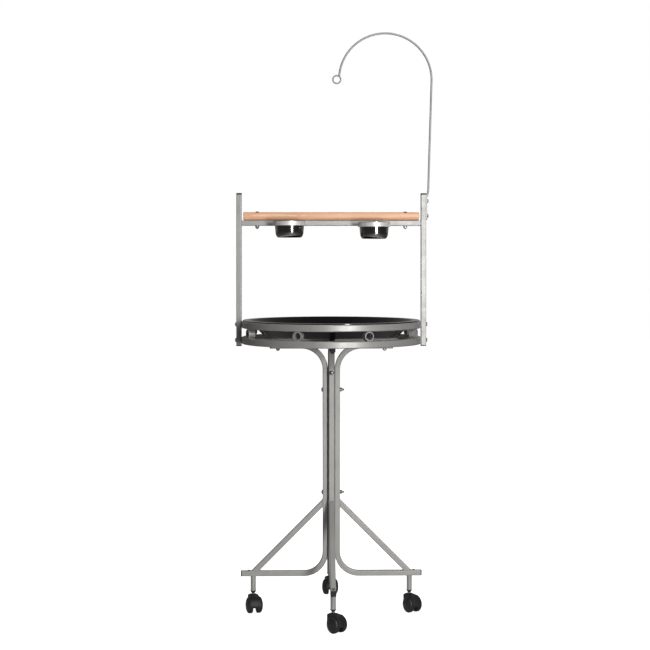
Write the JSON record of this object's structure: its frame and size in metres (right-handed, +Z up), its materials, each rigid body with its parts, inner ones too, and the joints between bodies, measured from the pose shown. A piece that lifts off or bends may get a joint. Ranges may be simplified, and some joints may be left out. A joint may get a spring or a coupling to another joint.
{
  "type": "parrot play stand",
  "caption": "Rolling bird play stand: square-tube column with braced feet, round tray in a double ring, wooden perch with steel cups, and an arched toy hook.",
  "frame": {"origin": "on the floor, on the axis of the column, midway between the casters' stems", "axes": "+X to the right seen from the front, along the perch towards the hook's upright; +Y from front to back, away from the cups; +Z up"},
  "size_m": [0.5928, 0.5492, 1.7366],
  "materials": {
    "caster_plastic": "moulded black nylon, satin",
    "cup_steel": "polished stainless steel",
    "dark_fastener": "black oxide",
    "fastener_steel": "zinc plate",
    "frame_paint": "satin silver-grey powder coat",
    "holder_steel": "bright zinc plate",
    "hook_paint": "satin silver-grey powder coat",
    "perch_wood": "bare, sanded",
    "plug_plastic": "moulded black",
    "stem_steel": "zinc plate",
    "tray_black": "gloss black stove enamel",
    "wheel_plastic": "moulded black nylon"
  },
  "bodies": {
    "stand": {"arm_bolts": "fastener_steel", "brace_front": "frame_paint", "brace_left": "frame_paint", "brace_rear": "frame_paint", "brace_right": "frame_paint", "caster_collars": "caster_plastic", "caster_stems": "stem_steel", "centre_post": "frame_paint", "column_bolts": "fastener_steel", "cross_bar_front": "frame_paint", "cross_bar_long": "frame_paint", "cross_bar_rear": "frame_paint", "cup_holder_left": "holder_steel", "cup_holder_right": "holder_steel", "foot_screws": "dark_fastener", "holder_spacers": "holder_steel", "hook_rod": "hook_paint", "hook_screws": "fastener_steel", "leg_front": "frame_paint", "leg_left": "frame_paint", "leg_plugs": "plug_plastic", "leg_rear": "frame_paint", "leg_right": "frame_paint", "lower_ring": "frame_paint", "nuts": "fastener_steel", "perch": "perch_wood", "perch_bolts": "fastener_steel", "perch_rail": "frame_paint", "ring_spacers": "frame_paint", "stem_tubes": "frame_paint", "toy_ring": "hook_paint", "upper_ring": "frame_paint", "upright_bolts": "fastener_steel", "upright_left": "frame_paint", "upright_plugs": "plug_plastic", "upright_right": "frame_paint", "washers": "fastener_steel", "weld_nuts": "fastener_steel", "wing_nuts": "holder_steel"},
    "tray": {"tray": "tray_black"},
    "cup_left": {"cup_left": "cup_steel"},
    "cup_right": {"cup_right": "cup_steel"},
    "caster_left": {"caster_hood_left": "caster_plastic", "caster_axle_left": "stem_steel"},
    "wheel_left_a": {"wheel_left_a": "wheel_plastic"},
    "wheel_left_b": {"wheel_left_b": "wheel_plastic"},
    "caster_right": {"caster_hood_right": "caster_plastic", "caster_axle_right": "stem_steel"},
    "wheel_right_a": {"wheel_right_a": "wheel_plastic"},
    "wheel_right_b": {"wheel_right_b": "wheel_plastic"},
    "caster_front": {"caster_hood_front": "caster_plastic", "caster_axle_front": "stem_steel"},
    "wheel_front_a": {"wheel_front_a": "wheel_plastic"},
    "wheel_front_b": {"wheel_front_b": "wheel_plastic"},
    "caster_rear": {"caster_hood_rear": "caster_plastic", "caster_axle_rear": "stem_steel"},
    "wheel_rear_a": {"wheel_rear_a": "wheel_plastic"},
    "wheel_rear_b": {"wheel_rear_b": "wheel_plastic"}
  },
  "joints": [
    {"name": "tray_lift", "type": "slide", "parent": "stand", "child": "tray", "axis": [0, 0, 1], "range_m": [0, 0.2]},
    {"name": "cup_left_lift", "type": "slide", "parent": "stand", "child": "cup_left", "axis": [0, 0, 1], "range_m": [0, 0.08]},
    {"name": "cup_right_lift", "type": "slide", "parent": "stand", "child": "cup_right", "axis": [0, 0, 1], "range_m": [0, 0.08]},
    {"name": "swivel_left", "type": "hinge", "parent": "stand", "child": "caster_left", "pos_m": [-0.234, 0, 0.048], "axis": [0, 0, 1], "continuous": true},
    {"name": "roll_left_a", "type": "hinge", "parent": "caster_left", "child": "wheel_left_a", "pos_m": [-0.23047, -0.01663, 0.024], "axis": [0.9781, 0.2079, 0], "continuous": true},
    {"name": "roll_left_b", "type": "hinge", "parent": "caster_left", "child": "wheel_left_b", "pos_m": [-0.23047, -0.01663, 0.024], "axis": [0.9781, 0.2079, 0], "continuous": true},
    {"name": "swivel_right", "type": "hinge", "parent": "stand", "child": "caster_right", "pos_m": [0.234, 0, 0.048], "axis": [0, 0, 1], "continuous": true},
    {"name": "roll_right_a", "type": "hinge", "parent": "caster_right", "child": "wheel_right_a", "pos_m": [0.24198, -0.01501, 0.024], "axis": [0.8829, 0.4695, 0], "continuous": true},
    {"name": "roll_right_b", "type": "hinge", "parent": "caster_right", "child": "wheel_right_b", "pos_m": [0.24198, -0.01501, 0.024], "axis": [0.8829, 0.4695, 0], "continuous": true},
    {"name": "swivel_front", "type": "hinge", "parent": "stand", "child": "caster_front", "pos_m": [0, -0.234, 0.048], "axis": [0, 0, 1], "continuous": true},
    {"name": "roll_front_a", "type": "hinge", "parent": "caster_front", "child": "wheel_front_a", "pos_m": [0.01023, -0.24758, 0.024], "axis": [0.7986, 0.6018, 0], "continuous": true},
    {"name": "roll_front_b", "type": "hinge", "parent": "caster_front", "child": "wheel_front_b", "pos_m": [0.01023, -0.24758, 0.024], "axis": [0.7986, 0.6018, 0], "continuous": true},
    {"name": "swivel_rear", "type": "hinge", "parent": "stand", "child": "caster_rear", "pos_m": [0, 0.234, 0.048], "axis": [0, 0, 1], "continuous": true},
    {"name": "roll_rear_a", "type": "hinge", "parent": "caster_rear", "child": "wheel_rear_a", "pos_m": [0.00148, 0.21707, 0.024], "axis": [0.9962, 0.0872, 0], "continuous": true},
    {"name": "roll_rear_b", "type": "hinge", "parent": "caster_rear", "child": "wheel_rear_b", "pos_m": [0.00148, 0.21707, 0.024], "axis": [0.9962, 0.0872, 0], "continuous": true}
  ]
}
